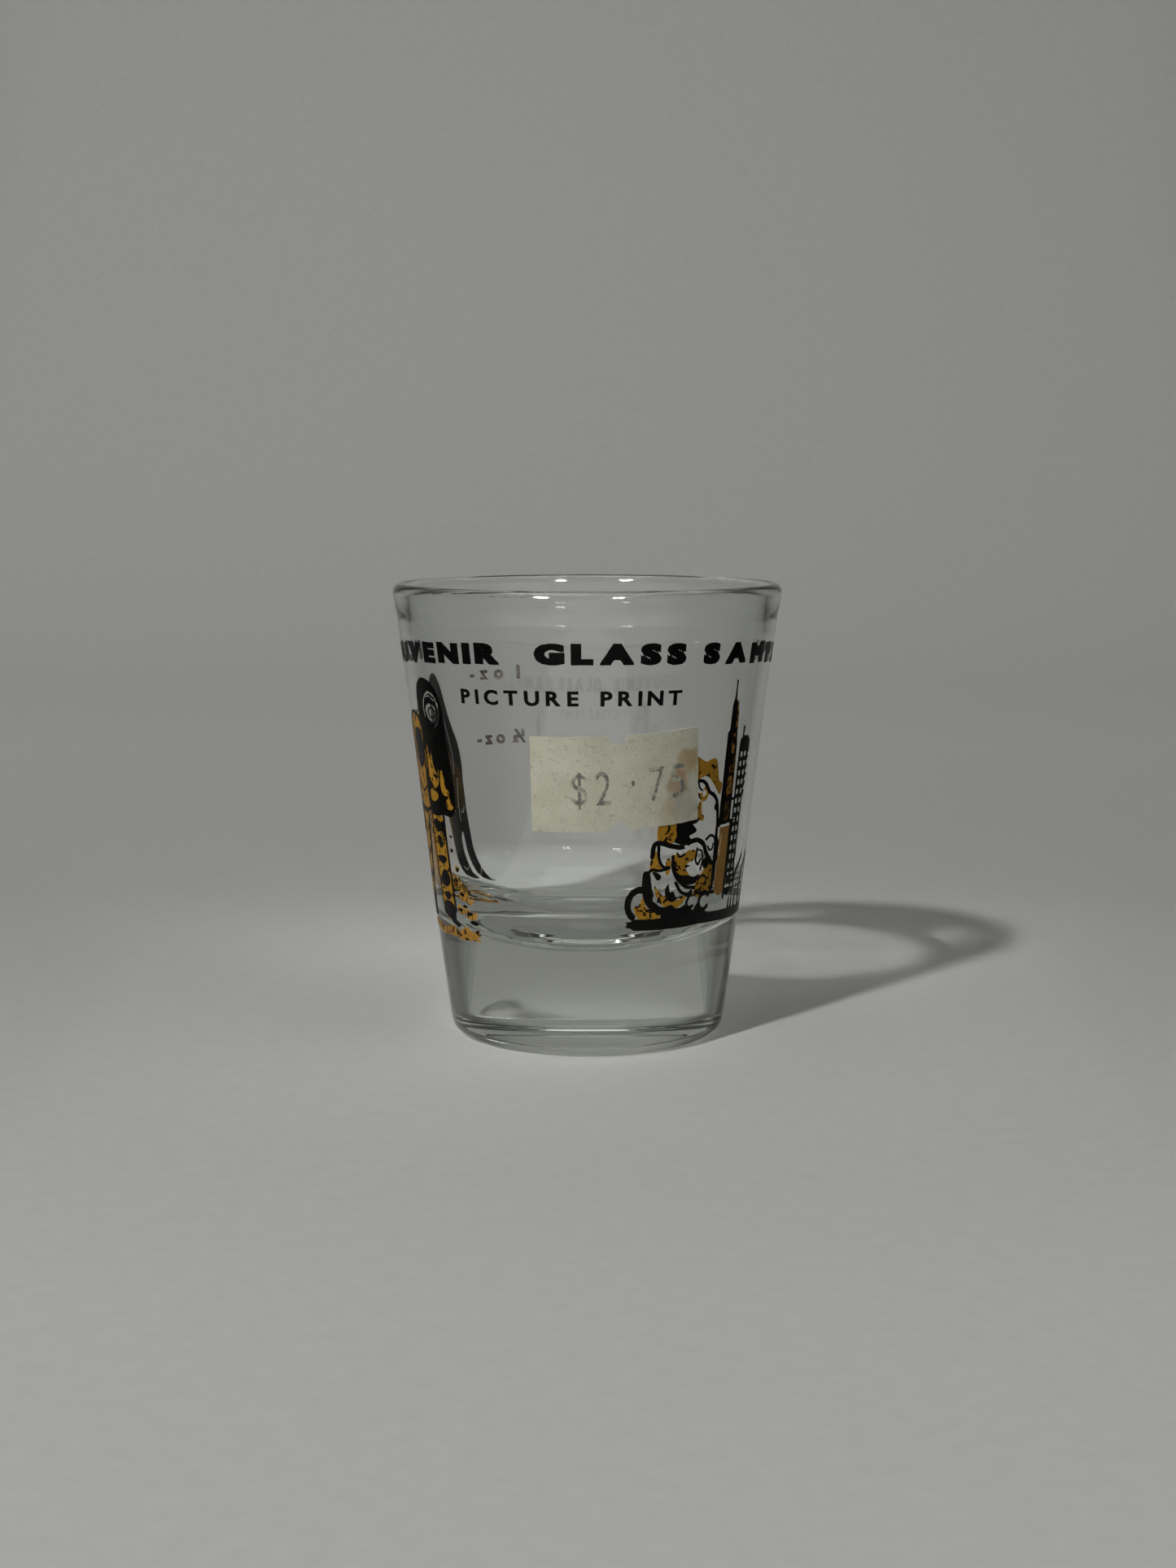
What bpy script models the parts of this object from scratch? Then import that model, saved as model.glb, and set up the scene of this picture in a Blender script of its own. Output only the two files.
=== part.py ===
"""Souvenir shot glass: a heavy-based pressed glass with fired enamel prints and a paper price label.

Metres, +Z up. The origin is the centre of the ring that the glass rests on. The front of the glass,
where the label is stuck, faces -Y. A place on the wall is given as (angle, height): degrees round
the wall from the front, positive towards +X, and millimetres above the resting ring.
"""

from math import acos, atan, atan2, ceil, cos, hypot, pi, radians, sin

import bpy
from mathutils import Vector
from mathutils.geometry import delaunay_2d_cdt

MM = 0.001

# Driving dimensions of the glass, in millimetres
RIM_RADIUS = 24.5
HEIGHT = 57.2
BASE_RADIUS = 17.46
WALL = 1.55
LIP_HEIGHT = 1.1
LIP_WALL = 1.95
LIP_SWELL_START = 51.0
HEEL_RADIUS = 1.9
WALL_BOW = -0.3
WALL_FLARE = 1.5
BOWL_ROUND_TOP = 22.0
BOWL_DEPTH = 10.0  # of the half ellipse under that height, whose bottom is cut off flat
FLOOR_RADIUS = 3.5
PUNT_RADIUS = 10.7
PUNT_DEPTH = 0.8
SEGMENTS = 80

# Driving dimensions of what is on the wall, in millimetres
GOLD_LAYER = (0.06, 0.12)
BLACK_LAYER = (0.16, 0.22)
LABEL_LAYER = (0.26, 0.36)
LABEL_WIDTH = 21.0
LABEL_HEIGHT = 11.6
LABEL_CENTRE = (9.9, 34.4)
LABEL_TILT = 2.4
NOTCH_WIDTH = 2.2
NOTCH_DEPTH = 1.1
NOTCH_RADIUS = 1.0
TITLE_HEIGHTS = (48.1, 50.8)
CAPTION_HEIGHTS = (43.4, 45.2)
GROUND_HEIGHTS = (16.1, 17.4)
SMOKE_STROKE = 0.55
WINDOW_TURN = 1.7  # degrees round the wall
WINDOW_HEIGHT = 1.0
FILM_STEP = 4.0
PRINT_RADIUS = 21.1


def outer_radius(height):
    """The wall's outer radius: a straight taper with a slight S, so it flares towards the lip."""
    share = (height - HEEL_RADIUS) / (HEIGHT - LIP_HEIGHT - HEEL_RADIUS)
    bend = share * (1 - share) * (WALL_BOW + WALL_FLARE * (1 - 2 * share))
    return BASE_RADIUS + (RIM_RADIUS - BASE_RADIUS) * share + bend


def spaced(low, high, count):
    return [low + (high - low) * i / count for i in range(count + 1)]


def wall_thickness(height):
    """The wall grows a little thicker where the lip was melted round."""
    share = min(1, max(0, (height - LIP_SWELL_START) / (HEIGHT - LIP_HEIGHT - LIP_SWELL_START)))
    return WALL + (LIP_WALL - WALL) * share * share * (3 - 2 * share)


def bowl_profile():
    """The inside, from the middle of its flat floor and round its corner up to the lip."""
    start = acos(FLOOR_RADIUS / (outer_radius(BOWL_ROUND_TOP - BOWL_DEPTH) - WALL))
    points = [(0, BOWL_ROUND_TOP - BOWL_DEPTH * sin(start))]
    for turn in spaced(start, 0, 8):
        height = BOWL_ROUND_TOP - BOWL_DEPTH * sin(turn)
        points.append(((outer_radius(height) - WALL) * cos(turn), height))
    for height in spaced(BOWL_ROUND_TOP, LIP_SWELL_START, 4)[1:]:
        points.append((outer_radius(height) - WALL, height))
    for height in spaced(LIP_SWELL_START, HEIGHT - LIP_HEIGHT, 4)[1:]:
        points.append((outer_radius(height) - wall_thickness(height), height))
    return points


def lip_profile():
    """Over the fire-polished lip, from its inner side to its outer side."""
    middle = RIM_RADIUS - LIP_WALL / 2
    return [
        (middle - LIP_WALL / 2 * cos(turn), HEIGHT - LIP_HEIGHT + LIP_HEIGHT * sin(turn))
        for turn in spaced(0, pi, 6)[1:-1]
    ]


def outside_profile():
    """Down the outer wall, round the heel, across the resting ring and into the shallow punt."""
    taper = atan((outer_radius(HEEL_RADIUS) - outer_radius(0)) / HEEL_RADIUS)
    heel_top = HEEL_RADIUS * (1 - sin(taper))
    heel_centre = outer_radius(heel_top) - HEEL_RADIUS * cos(taper)
    points = [(outer_radius(z), z) for z in spaced(HEIGHT - LIP_HEIGHT, heel_top, 8)]
    for turn in spaced(taper, pi / 2, 4)[1:]:
        points.append((heel_centre + HEEL_RADIUS * cos(turn), HEEL_RADIUS * (1 - sin(turn))))
    for radius in spaced(PUNT_RADIUS, 0, 4):
        points.append((radius, PUNT_DEPTH * (1 - (radius / PUNT_RADIUS) ** 2)))
    return points


def add_object(name, points, edges, faces, paint):
    mesh = bpy.data.meshes.new(name)
    mesh.from_pydata([Vector(p) * MM for p in points], edges, faces)
    mesh.materials.append(paint)
    item = bpy.data.objects.new(name, mesh)
    bpy.context.collection.objects.link(item)
    return item


def material(name, colour, roughness, transmission=0.0):
    made = bpy.data.materials.new(name)
    made.use_nodes = True
    shader = made.node_tree.nodes["Principled BSDF"]
    shader.inputs["Base Color"].default_value = (*colour, 1)
    shader.inputs["Roughness"].default_value = roughness
    shader.inputs["Metallic"].default_value = 0.0
    shader.inputs["Transmission Weight"].default_value = transmission
    return made


def glass_body():
    """One turned solid: the profile is swept round the axis."""
    profile = bowl_profile() + lip_profile() + outside_profile()
    points = [(radius, 0, height) for radius, height in profile]
    edges = [(i, i + 1) for i in range(len(points) - 1)]
    paint = material("clear_glass", (0.93, 0.95, 0.94), 0.03, transmission=1.0)
    body = add_object("glass_body", points, edges, [], paint)
    turn = body.modifiers.new("turn", "SCREW")
    turn.axis = "Z"
    turn.steps = turn.render_steps = SEGMENTS
    turn.use_merge_vertices = True
    turn.merge_threshold = 0.00001
    turn.use_smooth_shade = True


def wrapped(angle, height, layer):
    """The point over a place on the wall, that many millimetres off the glass."""
    radius = outer_radius(height) + layer
    return (radius * sin(radians(angle)), -radius * cos(radians(angle)), height)


def divided(outline):
    """The outline with long sides cut up, so that a film bends round the wall."""
    points = []
    for (a, b), (c, d) in zip(outline, outline[1:] + outline[:1]):
        count = ceil(max(abs(c - a), abs(d - b)) / FILM_STEP)
        points += [(a + (c - a) * i / count, b + (d - b) * i / count) for i in range(count)]
    return points


def inside(x, y, loops):
    crossings = 0
    for loop in loops:
        for (a, b), (c, d) in zip(loop, loop[1:] + loop[:1]):
            if (b > y) != (d > y) and x < a + (y - b) / (d - b) * (c - a):
                crossings += 1
    return crossings % 2 == 1


def clearance(x, y, loops):
    return min(hypot(x - a, y - b) for loop in loops for a, b in loop)


def film(name, outline, layer, paint, holes=()):
    """A thin closed film on the wall, from a flat outline of (angle, height) points and its holes."""
    loops = [divided(loop) for loop in (outline, *holes)]
    flat = [point for loop in loops for point in loop]
    edges = []
    start = 0
    for loop in loops:
        edges += [(start + i, start + (i + 1) % len(loop)) for i in range(len(loop))]
        start += len(loop)
    angles, heights = zip(*loops[0])
    for angle in spaced(min(angles), max(angles), ceil((max(angles) - min(angles)) / FILM_STEP)):
        for height in spaced(min(heights), max(heights), ceil((max(heights) - min(heights)) / FILM_STEP)):
            if inside(angle, height, loops) and clearance(angle, height, loops) > FILM_STEP / 3:
                flat.append((angle, height))
    found = delaunay_2d_cdt([Vector(p) for p in flat], edges, [], 0, 1e-6)
    flat = [tuple(p) for p in found[0]]
    triangles = []
    for a, b, c in found[2]:
        x = (flat[a][0] + flat[b][0] + flat[c][0]) / 3
        y = (flat[a][1] + flat[b][1] + flat[c][1]) / 3
        if inside(x, y, loops):
            triangles.append((a, b, c))
    count = len(flat)
    points = [wrapped(*p, layer[0]) for p in flat] + [wrapped(*p, layer[1]) for p in flat]
    sides = {(a, b) for tri in triangles for a, b in zip(tri, tri[1:] + tri[:1])}
    faces = [tri[::-1] for tri in triangles]
    faces += [tuple(i + count for i in tri) for tri in triangles]
    faces += [(a, b, b + count, a + count) for a, b in sides if (b, a) not in sides]
    return add_object(name, points, [], faces, paint)


def rectangle(left, right, low, high):
    return [(left, low), (right, low), (right, high), (left, high)]


def oval(centre, half_width, half_height, count, start=0, end=360):
    """Points on an oval, or on a stretch of one, in (angle, height)."""
    return [
        (centre[0] + half_width * cos(radians(t)), centre[1] + half_height * sin(radians(t)))
        for t in spaced(start, end, count)[: None if end - start < 360 else -1]
    ]


def stroke(route, width):
    """The outline of a line of this width in millimetres along a route of (angle, height) points."""
    degree = radians(1) * PRINT_RADIUS
    left, right = [], []
    for i, (angle, height) in enumerate(route):
        before = route[max(i - 1, 0)]
        after = route[min(i + 1, len(route) - 1)]
        along = Vector(((after[0] - before[0]) * degree, after[1] - before[1])).normalized()
        across = (-along.y * width / 2 / degree, along.x * width / 2)
        left.append((angle + across[0], height + across[1]))
        right.append((angle - across[0], height - across[1]))
    return right + left[::-1]


def label_place(across, up):
    """Where a point of the flat label lands: the paper rolls onto the cone without stretching."""
    angle, height = LABEL_CENTRE
    slope = atan(outer_radius(height + 1) - outer_radius(height))
    to_apex = outer_radius(height) / sin(slope)
    tilt = radians(LABEL_TILT)
    x = across * cos(tilt) - up * sin(tilt)
    y = across * sin(tilt) + up * cos(tilt)
    turn = atan2(x, to_apex + y)
    slant = hypot(x, to_apex + y) - to_apex
    return (angle + turn / sin(slope) * 180 / pi, height + slant * cos(slope))


def price_label():
    """A pricing-gun label: a rectangle with a square notch above and a round one below."""
    half_width, half_height = LABEL_WIDTH / 2, LABEL_HEIGHT / 2
    notch = NOTCH_WIDTH / 2
    round_notch = [
        (-NOTCH_RADIUS * cos(t), -half_height + NOTCH_RADIUS * sin(t)) for t in spaced(0, pi, 6)
    ]
    top = [
        (half_width, half_height),
        (notch, half_height),
        (notch * 0.7, half_height - NOTCH_DEPTH),
        (-notch * 0.5, half_height - NOTCH_DEPTH),
        (-notch, half_height),
        (-half_width, half_height),
    ]
    flat = [(-half_width, -half_height), *round_notch, (half_width, -half_height), *top]
    paint = material("label_paper", (0.62, 0.59, 0.45), 0.85)
    film("price_label", [label_place(*p) for p in flat], LABEL_LAYER, paint)


def black(name):
    return material(name + "_enamel", (0.012, 0.012, 0.013), 0.25)


def gold(name):
    return material(name + "_enamel", (0.55, 0.29, 0.05), 0.3)


def lettering():
    """Each printed word is a strip of film the size of its letters."""
    for name, left, right, (low, high) in (
        ("title_word_left", -94.0, -26.5, TITLE_HEIGHTS),
        ("title_word_front", -15.1, 29.6, TITLE_HEIGHTS),
        ("title_word_right", 36.5, 94.0, TITLE_HEIGHTS),
        ("caption_word_left", -41.5, -3.0, CAPTION_HEIGHTS),
        ("caption_word_right", 3.5, 29.5, CAPTION_HEIGHTS),
        ("one_ounce_mark", -155.0, -133.0, (43.2, 45.3)),
        ("half_ounce_mark", -156.0, -134.0, (34.7, 36.7)),
    ):
        film(name, rectangle(left, right, low, high), BLACK_LAYER, black(name))


def launch_print():
    """The right-hand picture: a rocket beside its tower, over smoke and a ground line."""
    rocket = [
        (50.2, 28.3), (56.8, 28.3), (56.3, 37.5), (55.7, 39.3), (54.5, 40.2), (53.9, 42.9),
        (52.9, 44.5), (52.2, 44.5), (51.5, 42.9), (51.2, 40.2), (50.3, 39.5),
    ]
    film("rocket_print", rocket, BLACK_LAYER, black("rocket_print"))
    windows = [
        rectangle(left, left + WINDOW_TURN, low, low + WINDOW_HEIGHT)
        for left in (59.0, 62.0)
        for low in spaced(21.7, 35.7, 8)
    ]
    tower = rectangle(57.8, 64.8, 20.2, 38.6)
    film("tower_print", tower, BLACK_LAYER, black("tower_print"), holes=windows)
    film("gantry_print", rectangle(51.3, 57.2, 19.2, 27.8), GOLD_LAYER, gold("gantry_print"))
    smoke = [
        (16.5, 17.8), (14.8, 19.6), (16.6, 21.6), (20.4, 21.9), (21.2, 24.3), (23.6, 27.0),
        (25.6, 30.1), (29.4, 32.4), (32.6, 35.3), (37.0, 37.1), (41.6, 36.4), (45.6, 36.6),
        (47.6, 34.7), (49.4, 32.4), (48.4, 27.9), (48.6, 19.6), (46.0, 18.2), (32.0, 17.8),
    ]
    film("smoke_print", smoke, GOLD_LAYER, gold("smoke_print"))
    curl = [
        (17.2, 17.9), (14.6, 19.2), (14.4, 20.8), (17.2, 21.7), (20.2, 22.3), (21.0, 24.6),
        (23.6, 26.4), (30.0, 27.0), (37.0, 26.8), (42.0, 26.2), (46.0, 24.8), (48.4, 23.1),
    ]
    film("smoke_outline_print", stroke(curl, SMOKE_STROKE), BLACK_LAYER, black("smoke_outline_print"))
    ground = rectangle(13.6, 100.0, *GROUND_HEIGHTS)
    film("ground_line_print", ground, BLACK_LAYER, black("ground_line_print"))


def astronaut_print():
    """The left-hand picture: a suited figure on rough ground, and a dark companion behind it."""
    helmet = oval((-59.8, 42.5), 8.6, 3.3, 12, start=-40, end=220)
    torso = [(-67.6, 37.1), (-69.0, 32.0), (-67.0, 29.1), (-57.6, 29.1), (-55.6, 34.0), (-52.6, 38.2)]
    film("astronaut_print", helmet + torso, BLACK_LAYER, black("astronaut_print"))
    leg = [
        (-66.6, 15.9), (-56.6, 15.9), (-57.6, 22.7), (-58.8, 28.7), (-67.4, 28.7), (-68.6, 26.4),
        (-67.6, 21.7),
    ]
    film("astronaut_leg_print", leg, GOLD_LAYER, gold("astronaut_leg_print"))
    ground = [
        (-78.0, 13.8), (-42.2, 13.8), (-42.6, 16.1), (-45.4, 18.6), (-46.6, 21.3), (-55.6, 22.1),
        (-55.6, 15.3), (-78.0, 15.3),
    ]
    film("moon_ground_print", ground, GOLD_LAYER, gold("moon_ground_print"))
    companion = [
        (-99.0, 39.5), (-100.5, 42.5), (-104.5, 44.6), (-109.0, 44.6), (-114.5, 41.8), (-119.0, 37.4),
        (-122.5, 32.0), (-123.5, 26.2), (-127.5, 20.2), (-133.0, 15.6), (-128.0, 15.6), (-123.5, 20.2),
        (-120.0, 24.2), (-118.0, 20.2), (-121.5, 15.6), (-115.0, 15.6), (-111.5, 20.2), (-106.5, 26.8),
        (-102.0, 31.0), (-99.0, 35.4),
    ]
    film("companion_print", companion, BLACK_LAYER, black("companion_print"))


def main():
    for item in list(bpy.data.objects):
        bpy.data.objects.remove(item)
    glass_body()
    lettering()
    launch_print()
    astronaut_print()
    price_label()


main()
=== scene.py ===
"""Looks for the souvenir shot glass: fine glass, fired enamel prints, paper label, studio.

A place on the wall is (angle, height): degrees round the wall from the front, positive towards +X,
and millimetres above the resting ring. Lengths are in millimetres, and the studio's are in metres.
Noise scales are in waves to the metre.
"""

import random
from math import atan, ceil, cos, exp, hypot, pi, radians, sin

import bpy
import numpy as np
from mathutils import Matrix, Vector, noise
from mathutils.geometry import delaunay_2d_cdt


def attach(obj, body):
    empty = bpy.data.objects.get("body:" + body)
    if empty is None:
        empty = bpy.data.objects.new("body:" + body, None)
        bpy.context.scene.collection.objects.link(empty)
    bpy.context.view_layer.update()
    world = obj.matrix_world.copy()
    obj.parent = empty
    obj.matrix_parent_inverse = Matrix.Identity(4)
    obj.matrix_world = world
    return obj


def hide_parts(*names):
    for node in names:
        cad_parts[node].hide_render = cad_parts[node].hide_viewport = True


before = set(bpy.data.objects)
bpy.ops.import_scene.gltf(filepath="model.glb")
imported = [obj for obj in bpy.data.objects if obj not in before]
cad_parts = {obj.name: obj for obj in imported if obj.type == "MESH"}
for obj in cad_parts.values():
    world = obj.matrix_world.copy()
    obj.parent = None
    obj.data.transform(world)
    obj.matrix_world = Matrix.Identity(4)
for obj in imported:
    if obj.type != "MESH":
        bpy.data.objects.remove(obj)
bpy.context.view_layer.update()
chance = random.Random(11)

MM = 0.001

# The glass
RIM_RADIUS = 24.5
HEIGHT = 57.2
BASE_RADIUS = 17.46
WALL = 1.55
LIP_HEIGHT = 1.1
HEEL_RADIUS = 1.9
WALL_BOW = -0.3
WALL_FLARE = 1.5
LIP_WALL = 1.95
LIP_SWELL_START = 51.0
BOWL_ROUND_TOP = 22.0
BOWL_DEPTH = 10.0  # of the half ellipse under that height, whose bottom is cut off flat
FLOOR_RADIUS = 3.5
RIPPLE = 0.011
RIPPLES = 0.17  # in radians of the wave for each square millimetre, so the rings crowd outwards
PUNT_RADIUS = 10.7
PUNT_DEPTH = 0.8
GROOVE_HEIGHT = 53.0
GROOVE_WIDTH = 0.7
GROOVE_DEPTH = 0.07
GLASS_TURNS = 256
GLASS_TINT = (0.995, 1.0, 0.995)
GLASS_IOR = 1.52
DEEP_TINT = (0.785, 0.81, 0.758)  # what stays of white light in thick glass
DEEP_DENSITY = 38.0

# Enamel and paper: how far their inner and outer faces stand off the glass
GOLD_LAYER = (-0.03, 0.02)
BLACK_LAYER = (-0.02, 0.04)
LABEL_LAYER = (0.05, 0.14)
PRICE_LAYER = (0.13, 0.146)
DEGREE = 0.37  # the width of one degree of the wall in a flat drawing
GRID = (0.5, 1.2)  # how finely a film is divided to bend round the wall
LONGEST_SIDE = 0.5  # of an outline, before its ragged edge is made
RAGGED_SCALE = 2.1  # waves of the ragged edge to a millimetre
CURVE_STEPS = 6
INK, BARE = "ink", "bare"
BLACK = (0.001, 0.001, 0.001)
OVERPRINT = (0.012, 0.005, 0.001)  # gold where a spot of black lies over it
# Each enamel's darkest and lightest colour, and how much noise makes a spot of black
ENAMELS = {
    "black_lettering": (BLACK, (0.004, 0.004, 0.004), None),
    # Grey-brown, not black: painted light, standing in for the sheen of the glass over the ounce marks on
    # the far wall.
    "back_marks_painted_sheen": ((0.022, 0.018, 0.015), (0.05, 0.042, 0.036), None),
    "black_picture": (BLACK, (0.004, 0.0035, 0.003), None),
    "gold_block": ((0.38, 0.195, 0.04), (0.44, 0.24, 0.06), None),
    "gold_billow": ((0.39, 0.19, 0.012), (0.46, 0.24, 0.022), 0.575),
    "gold_rough": ((0.37, 0.18, 0.022), (0.43, 0.22, 0.035), 0.545),
}

# Films in a second colour, and the CAD node whose first film they lie with
SECOND_COLOURS = {"rocket_stripes": "rocket_print", "moon_ground_shading": "moon_ground_print"}

# The label and the lettering
LABEL_WIDTH = 21.0
LABEL_HEIGHT = 11.6
LABEL_CENTRE = (9.9, 34.4)
LABEL_TILT = 2.4
NOTCH_WIDTH = 2.2
NOTCH_DEPTH = 1.1
NOTCH_RADIUS = 1.0
FONT_CAP = 0.7  # the height of a capital in type of size 1
# The type: height of its base line and of a capital, boldness, stretch, sag and spread
TITLE = (48.65, 2.45, 0.16, 1.38, 0.5, 0.13)
CAPTION = (43.7, 1.8, 0.06, 1.1, 0.3, 0.03)
ONE_OUNCE = (43.4, 1.8, 0.08, 1.1, 0, 0.04)
HALF_OUNCE = (34.8, 1.8, 0.08, 1.1, 0, 0.04)
SAG_ANGLE = 55  # degrees from the front, where a base line has dropped by its sag

# Where the prints show through the label: a place, its size, its colour and its strength
SHOW_THROUGH = (
    ((33.0, 36.4), 1.7, (0.42, 0.30, 0.15), 0.75),
    ((35.2, 37.0), 1.1, (0.40, 0.30, 0.14), 0.6),
    ((30.0, 34.0), 1.6, (0.36, 0.24, 0.13), 0.75),
    ((29.0, 31.6), 1.3, (0.44, 0.33, 0.22), 0.6),
    ((33.5, 31.0), 1.8, (0.40, 0.40, 0.33), 0.7),
    ((28.0, 30.0), 1.4, (0.50, 0.41, 0.27), 0.5),
)

# The camera and the studio, in metres
CAMERA_PLACE = (0.0001, -0.2979, 0.0707)
CAMERA_DIP = 7.49  # degrees below level
CAMERA_LENS = 54.08  # on a sensor 36 mm wide
SWEEP_REACH = 1.6  # of the paper to the front, to each side and up
SWEEP_BEND_START = 0.5
SWEEP_BEND = 0.4
LIT_FLOOR_RADIUS = 15.5  # in millimetres
LIT_FLOOR_HEIGHT = 0.02  # in millimetres
LIT_FLOOR_COLOUR = (0.14, 0.142, 0.135)
LIT_PATCH_RADIUS = 25  # in millimetres
LIT_PATCH_PLACE = (0.030, 0.0495, 0.0001)
CARD_HEIGHT = 0.8  # in millimetres
CARD_OUTLINE = (
    (0.058, -0.1), (0.07, 0.06), (0.115, 0.13), (0.3, 0.5), (0.9, 0.5), (0.9, -0.6), (0.058, -0.6),
)
CARD_THICKENS = ((0.35, 0.0), (0.76, 0.22), (0.86, 0.5), (1.0, 1.0))  # radians from straight behind
KEY_WAY = (-38, -60, 57.2)
KEY_DISTANCE, KEY_SIZE, KEY_POWER = 1.4, 0.07, 10.5
OVERHEAD_SIZE, OVERHEAD_POWER = (1.2, 1.0), 3.85
SPARK_DISTANCE, SPARK_SIZE, SPARK_POWER = 1.2, 0.12, 60.0
SPARK_WAYS = {"spark_right": (0.28, -0.8, 0.55), "spark_left": (-0.42, -0.8, 0.62)}


def outer_radius(height):
    share = (height - HEEL_RADIUS) / (HEIGHT - LIP_HEIGHT - HEEL_RADIUS)
    bend = share * (1 - share) * (WALL_BOW + WALL_FLARE * (1 - 2 * share))
    return BASE_RADIUS + (RIM_RADIUS - BASE_RADIUS) * share + bend


def wall_thickness(height):
    """The wall grows a little thicker where the lip was melted round."""
    share = min(1, max(0, (height - LIP_SWELL_START) / (HEIGHT - LIP_HEIGHT - LIP_SWELL_START)))
    return WALL + (LIP_WALL - WALL) * share * share * (3 - 2 * share)


def glass_profile():
    """Up the inside from the middle of the bowl, over the lip, down the outside and into the punt."""
    start = np.arccos(FLOOR_RADIUS / (outer_radius(BOWL_ROUND_TOP - BOWL_DEPTH) - WALL))
    floor = BOWL_ROUND_TOP - BOWL_DEPTH * sin(start)
    points = [(radius, floor) for radius in np.linspace(0, FLOOR_RADIUS - 0.3, 12)]
    for turn in np.linspace(start, 0, 60)[1:]:
        height = BOWL_ROUND_TOP - BOWL_DEPTH * sin(turn)
        points.append(((outer_radius(height) - WALL) * cos(turn), height))
    points = [(radius, height + RIPPLE * sin(RIPPLES * radius * radius)) for radius, height in points]
    for height in np.linspace(BOWL_ROUND_TOP, HEIGHT - LIP_HEIGHT, 60)[1:]:
        points.append((outer_radius(height) - wall_thickness(height), height))
    middle = RIM_RADIUS - LIP_WALL / 2
    for turn in np.linspace(0, pi, 24)[1:-1]:
        points.append((middle - LIP_WALL / 2 * cos(turn), HEIGHT - LIP_HEIGHT + LIP_HEIGHT * sin(turn)))
    taper = atan((outer_radius(HEEL_RADIUS) - outer_radius(0)) / HEEL_RADIUS)
    heel_top = HEEL_RADIUS * (1 - sin(taper))
    heel_centre = outer_radius(heel_top) - HEEL_RADIUS * cos(taper)
    for z in np.linspace(HEIGHT - LIP_HEIGHT, heel_top, 200):
        groove = GROOVE_DEPTH * exp(-(((z - GROOVE_HEIGHT) / GROOVE_WIDTH) ** 2))
        points.append((outer_radius(z) - groove, z))
    for turn in np.linspace(taper, pi / 2, 16)[1:]:
        points.append((heel_centre + HEEL_RADIUS * cos(turn), HEEL_RADIUS * (1 - sin(turn))))
    for radius in np.linspace(PUNT_RADIUS, 0, 30):
        points.append((radius, PUNT_DEPTH * (1 - (radius / PUNT_RADIUS) ** 2)))
    return points


def turned(name, profile, turns):
    """A closed mesh of a profile turned round the upright axis, whose two ends lie on the axis."""
    profile = np.array(profile)
    rings = profile[1:-1]
    angles = np.arange(turns) * 2 * pi / turns
    points = [(0, 0, profile[0][1])]
    for radius, height in rings:
        points += [(radius * sin(a), -radius * cos(a), height) for a in angles]
    points.append((0, 0, profile[-1][1]))
    faces = []
    for j in range(turns):
        k = (j + 1) % turns
        faces.append((0, 1 + j, 1 + k))
        for i in range(len(rings) - 1):
            a, b = 1 + i * turns, 1 + (i + 1) * turns
            faces.append((a + j, b + j, b + k, a + k))
        last = 1 + (len(rings) - 1) * turns
        faces.append((len(points) - 1, last + k, last + j))
    return add_mesh(name, points, faces)


def add_mesh(name, points, faces):
    mesh = bpy.data.meshes.new(name)
    mesh.from_pydata([tuple(float(c) * MM for c in p) for p in points], [], faces)
    mesh.shade_smooth()
    item = bpy.data.objects.new(name, mesh)
    bpy.context.collection.objects.link(item)
    return item


def smooth_route(points, closed):
    """A Catmull-Rom curve through the points."""
    pts = np.array(points, float)
    if closed:
        pts = np.vstack([pts[-1:], pts, pts[:2]])
    else:
        pts = np.vstack([2 * pts[0] - pts[1], pts, 2 * pts[-1] - pts[-2]])
    out = []
    for a, b, c, d in zip(pts, pts[1:], pts[2:], pts[3:]):
        for t in np.arange(CURVE_STEPS) / CURVE_STEPS:
            bend = 2 * a - 5 * b + 4 * c - d
            twist = 3 * b - 3 * c + d - a
            out.append(0.5 * (2 * b + (c - a) * t + bend * t**2 + twist * t**3))
    if not closed:
        out.append(pts[-2])
    return [tuple(p) for p in out]


def curve(points):
    """A closed rounded outline."""
    return smooth_route(points, True)


def ring(centre, half_width, half_height, start, end):
    """A stretch of an oval, as a route."""
    return [
        (centre[0] + half_width * cos(radians(t)), centre[1] + half_height * sin(radians(t)))
        for t in np.linspace(start, end, 14)
    ]


def line(route, width):
    """The outline of a drawn line with round ends, its width in millimetres."""
    pts = np.array(smooth_route(route, False), float) * (DEGREE, 1)
    along = np.gradient(pts, axis=0)
    along /= np.linalg.norm(along, axis=1)[:, None]
    across = np.stack([-along[:, 1], along[:, 0]], 1) * width / 2
    caps = []
    for end, way in ((pts[-1], along[-1]), (pts[0], -along[0])):
        side = np.array([-way[1], way[0]])
        caps.append([end + (way * sin(t) - side * cos(t)) * width / 2 for t in np.linspace(0, pi, 7)[1:-1]])
    loop = [*(pts - across), *caps[0], *(pts + across)[::-1], *caps[1]]
    return [tuple(p / (DEGREE, 1)) for p in loop]


def blob(points):
    return INK, curve(points)


def opening(points):
    return BARE, curve(points)


def pane(left, right, low, high):
    return BARE, [(left, low), (right, low), (right, high), (left, high)]


def stroke(route, width):
    return INK, line(route, width)


def scratch(route, width):
    return BARE, line(route, width)


def specks(centre, half_width, half_height, count):
    """Small ragged dots scattered in an oval."""
    steps = []
    for _ in range(count):
        turn, reach = chance.uniform(0, 2 * pi), chance.uniform(0, 1) ** 0.5
        x = centre[0] + half_width * reach * cos(turn)
        y = centre[1] + half_height * reach * sin(turn)
        wide, tall, lean = chance.uniform(0.35, 0.8), chance.uniform(0.09, 0.2), chance.uniform(-0.1, 0.1)
        steps.append(blob([(x - wide, y - lean), (x, y + tall), (x + wide, y + lean), (x, y - tall)]))
    return steps


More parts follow.
